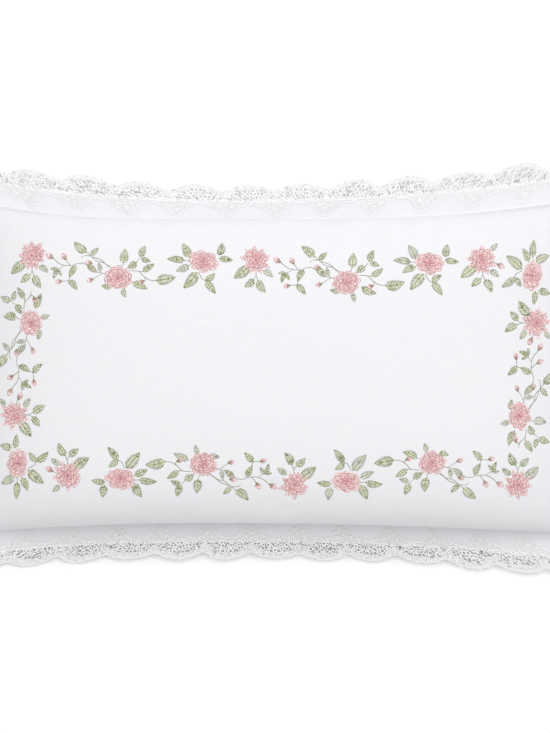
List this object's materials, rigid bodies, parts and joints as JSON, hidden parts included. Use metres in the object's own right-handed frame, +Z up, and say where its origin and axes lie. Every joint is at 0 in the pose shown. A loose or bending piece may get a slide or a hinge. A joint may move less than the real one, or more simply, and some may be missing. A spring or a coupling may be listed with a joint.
{
  "type": "filled pillow sham",
  "caption": "Rectangular filled pillow sham in white linen with a flat flange, a border of embroidered roses and scalloped lace along its edges, lying on its back.",
  "frame": {"origin": "bottom centre of the bounding box, on the surface that the sham lies on", "axes": "+X along the long side, +Y towards the head edge, +Z up out of the embroidered face"},
  "size_m": [0.9608, 0.5875, 0.138],
  "materials": {
    "linen": "matte",
    "lace": "matte",
    "rose_thread": "satin",
    "rose_thread_pale": "satin",
    "rose_thread_deep": "satin",
    "leaf_thread": "satin",
    "leaf_thread_light": "satin",
    "stem_thread": "satin"
  },
  "bodies": {
    "root": {"sham_cover": "linen", "lace_head": "lace", "lace_foot": "lace", "lace_left": "lace", "lace_right": "lace"}
  },
  "joints": []
}
